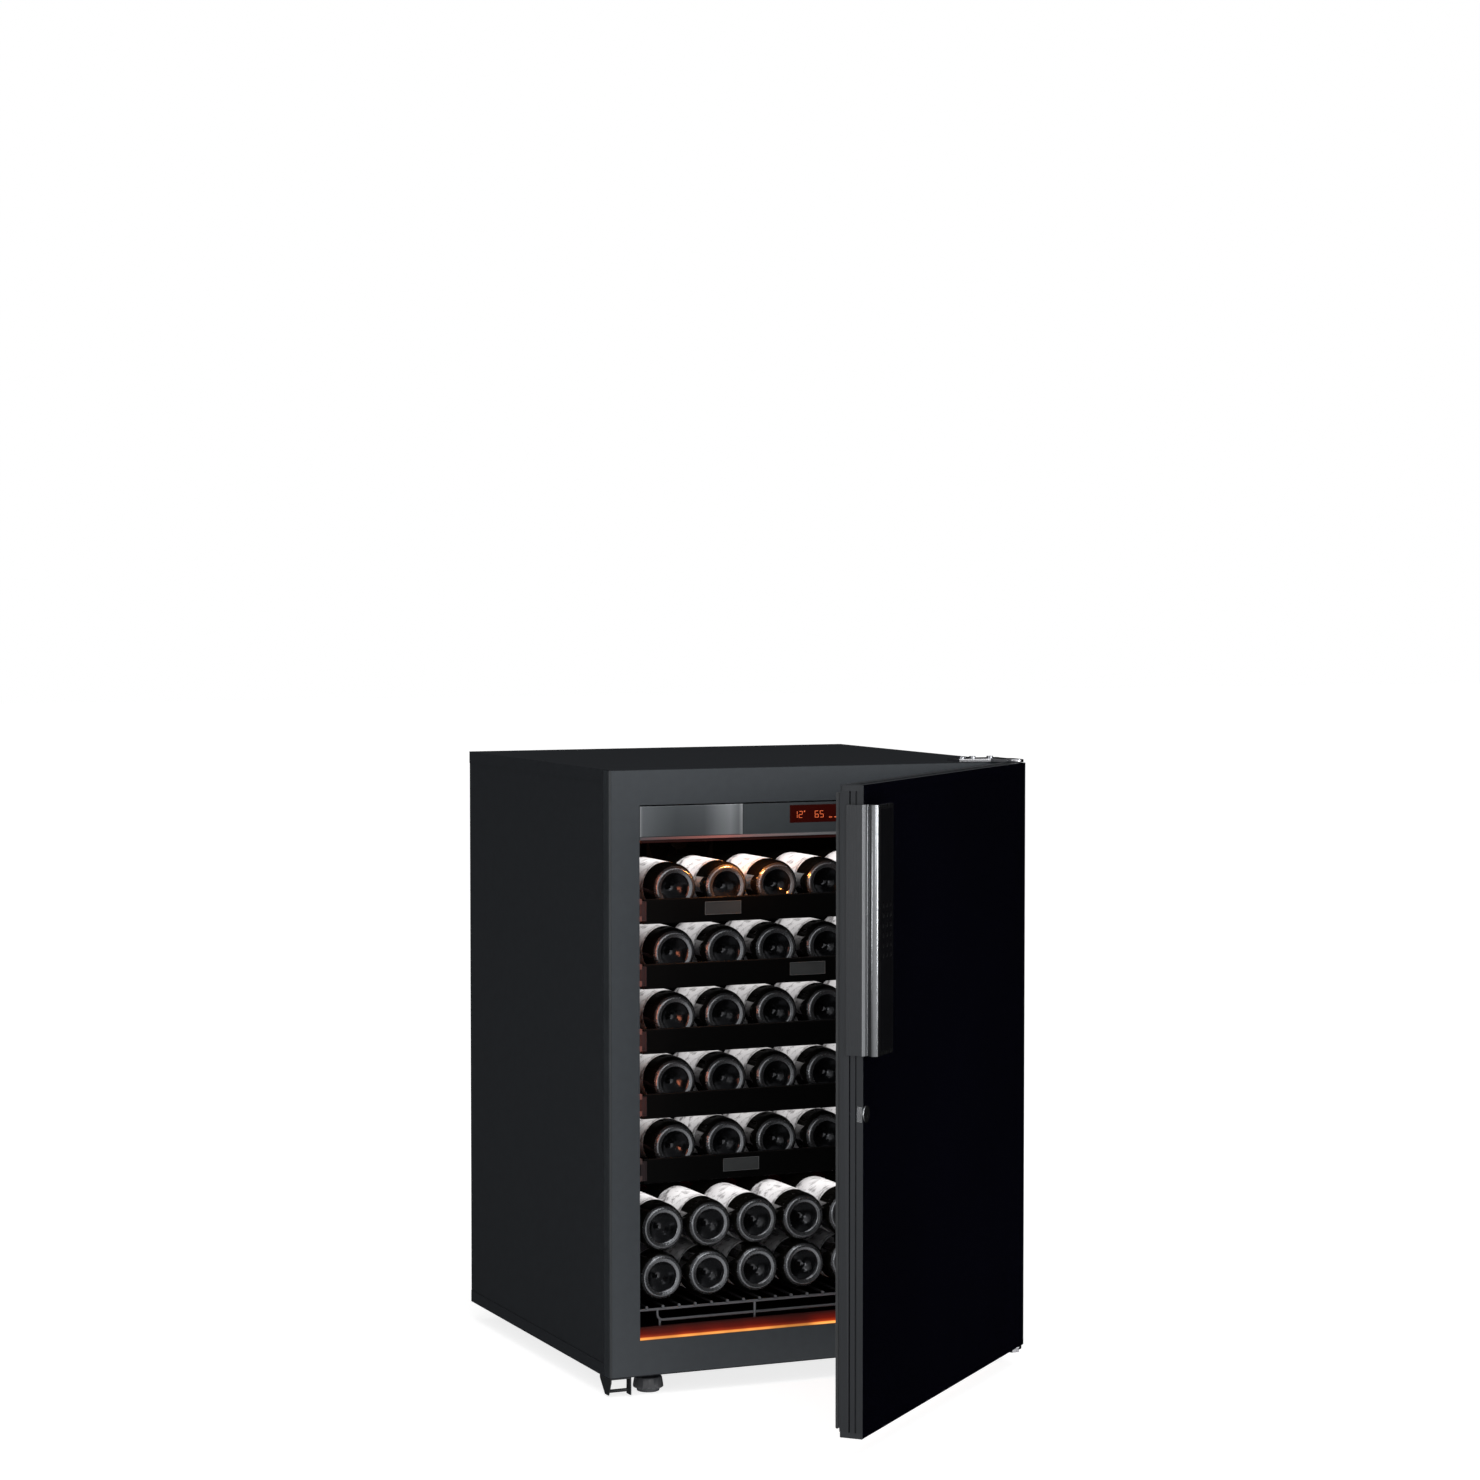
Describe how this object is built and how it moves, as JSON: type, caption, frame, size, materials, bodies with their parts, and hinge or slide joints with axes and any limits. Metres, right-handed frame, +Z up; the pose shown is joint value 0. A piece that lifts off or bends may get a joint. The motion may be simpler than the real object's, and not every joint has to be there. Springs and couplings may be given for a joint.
{
  "type": "wine cooler",
  "caption": "Free-standing wine cooler: dark insulated cabinet with a hinged black glass door, sliding bottle shelves and a wire rack under them.",
  "frame": {"origin": "centre of the cabinet's footprint, on the floor", "axes": "+Z up, +Y towards the cabinet's back, +X to the right of someone facing its front"},
  "size_m": [0.6872, 1.1438, 0.9571],
  "materials": {
    "casing_paint": "semi-gloss dark graphite coat",
    "frame_paint": "satin graphite coat",
    "trim_black": "satin extruded trim",
    "liner": "satin moulded",
    "foam": "rigid foam, hidden",
    "panel_grey": "satin moulded",
    "brushed_plate": "brushed along its length",
    "display_red": "dark red tinted window",
    "board": "circuit board, hidden",
    "button_grey": "satin moulded",
    "amber_light": "translucent amber diffuser",
    "runner_grey": "satin grey",
    "wire_black": "coated steel wire",
    "evaporator_metal": "mill, hidden",
    "compressor_black": "satin black",
    "black_plastic": "matte moulded",
    "foot_plastic": "matte moulded",
    "bracket_steel": "satin pressed steel",
    "hinge_chrome": "bright plated",
    "screw_steel": "plated",
    "door_black_glass": "back-painted black, opaque, glossy",
    "door_frame_paint": "satin graphite coat",
    "cap_grey": "satin moulded",
    "door_liner": "satin black sheet",
    "gasket_rubber": "matte, magnetic strip inside",
    "satin_aluminium": "satin anodised",
    "grip_black": "satin",
    "lock_metal": "plated die-cast",
    "shelf_black": "matte moulded",
    "pad_rubber": "matte moulded rubber",
    "fascia_black": "semi-gloss black"
  },
  "bodies": {
    "cabinet": {"side_panel_left": "casing_paint", "side_panel_right": "casing_paint", "top_panel": "casing_paint", "base_pan": "casing_paint", "back_panel": "casing_paint", "service_cover": "casing_paint", "front_frame": "frame_paint", "corner_trims": "trim_black", "inner_liner": "liner", "insulation": "foam", "control_panel": "panel_grey", "control_plate": "brushed_plate", "display_lens": "display_red", "display_board": "board", "light_bars": "amber_light", "shelf_runners": "runner_grey", "bottle_rack": "wire_black", "evaporator": "evaporator_metal", "compressor": "compressor_black", "condenser": "wire_black", "fan_housing": "black_plastic", "power_inlet": "black_plastic", "rear_feet": "foot_plastic", "corner_bracket": "bracket_steel", "hinge_top": "hinge_chrome", "hinge_bottom": "hinge_chrome", "hinge_screws": "screw_steel"},
    "door": {"door_glass": "door_black_glass", "door_stile_free": "door_frame_paint", "door_stile_hinge": "door_frame_paint", "door_cap_top": "cap_grey", "door_cap_bottom": "cap_grey", "door_core": "foam", "door_inner_panel": "door_liner", "door_gasket": "gasket_rubber", "handle_profile": "satin_aluminium", "handle_insert": "grip_black", "lock_plate": "lock_metal"},
    "lock": {"lock_cylinder": "lock_metal"},
    "fan": {"fan_rotor": "black_plastic"},
    "foot_left": {"foot_front_left": "foot_plastic"},
    "foot_right": {"foot_front_right": "foot_plastic"},
    "light_button": {"button_light": "button_grey"},
    "down_button": {"button_down": "button_grey"},
    "up_button": {"button_up": "button_grey"},
    "shelf_1": {"shelf_tray_1": "shelf_black", "shelf_pads_1": "pad_rubber", "shelf_front_1": "fascia_black"},
    "shelf_2": {"shelf_tray_2": "shelf_black", "shelf_pads_2": "pad_rubber", "shelf_front_2": "fascia_black"},
    "shelf_3": {"shelf_tray_3": "shelf_black", "shelf_pads_3": "pad_rubber", "shelf_front_3": "fascia_black"},
    "shelf_4": {"shelf_tray_4": "shelf_black", "shelf_pads_4": "pad_rubber", "shelf_front_4": "fascia_black"},
    "shelf_5": {"shelf_tray_5": "shelf_black", "shelf_pads_5": "pad_rubber", "shelf_front_5": "fascia_black"}
  },
  "joints": [
    {"name": "door_hinge", "type": "hinge", "parent": "cabinet", "child": "door", "pos_m": [0.33, -0.347, 0.49], "axis": [0, 0, 1], "range_deg": [-42.6, 75]},
    {"name": "lock_turn", "type": "hinge", "parent": "door", "child": "lock", "pos_m": [-0.14601, -0.80441, 0.4885], "axis": [0.6769, -0.7361, 0], "range_deg": [0, 90]},
    {"name": "fan_spin", "type": "hinge", "parent": "cabinet", "child": "fan", "pos_m": [0, 0.234, 0.8], "axis": [0, 1, 0], "continuous": true},
    {"name": "foot_left_turn", "type": "hinge", "parent": "cabinet", "child": "foot_left", "pos_m": [-0.264, -0.285, 0.02], "axis": [0, 0, 1], "continuous": true},
    {"name": "foot_right_turn", "type": "hinge", "parent": "cabinet", "child": "foot_right", "pos_m": [0.264, -0.285, 0.02], "axis": [0, 0, 1], "continuous": true},
    {"name": "shelf_1_slide", "type": "slide", "parent": "cabinet", "child": "shelf_1", "axis": [0, -1, 0], "range_m": [0, 0.075]},
    {"name": "shelf_2_slide", "type": "slide", "parent": "cabinet", "child": "shelf_2", "axis": [0, -1, 0], "range_m": [0, 0.075]},
    {"name": "shelf_3_slide", "type": "slide", "parent": "cabinet", "child": "shelf_3", "axis": [0, -1, 0], "range_m": [0, 0.075]},
    {"name": "shelf_4_slide", "type": "slide", "parent": "cabinet", "child": "shelf_4", "axis": [0, -1, 0], "range_m": [0, 0.075]},
    {"name": "shelf_5_slide", "type": "slide", "parent": "cabinet", "child": "shelf_5", "axis": [0, -1, 0], "range_m": [0, 0.075]},
    {"name": "light_button_press", "type": "slide", "parent": "cabinet", "child": "light_button", "axis": [0, 1, 0], "range_m": [0, 0.001], "stiffness_N_per_m": 1500},
    {"name": "down_button_press", "type": "slide", "parent": "cabinet", "child": "down_button", "axis": [0, 1, 0], "range_m": [0, 0.001], "stiffness_N_per_m": 1500},
    {"name": "up_button_press", "type": "slide", "parent": "cabinet", "child": "up_button", "axis": [0, 1, 0], "range_m": [0, 0.001], "stiffness_N_per_m": 1500}
  ]
}
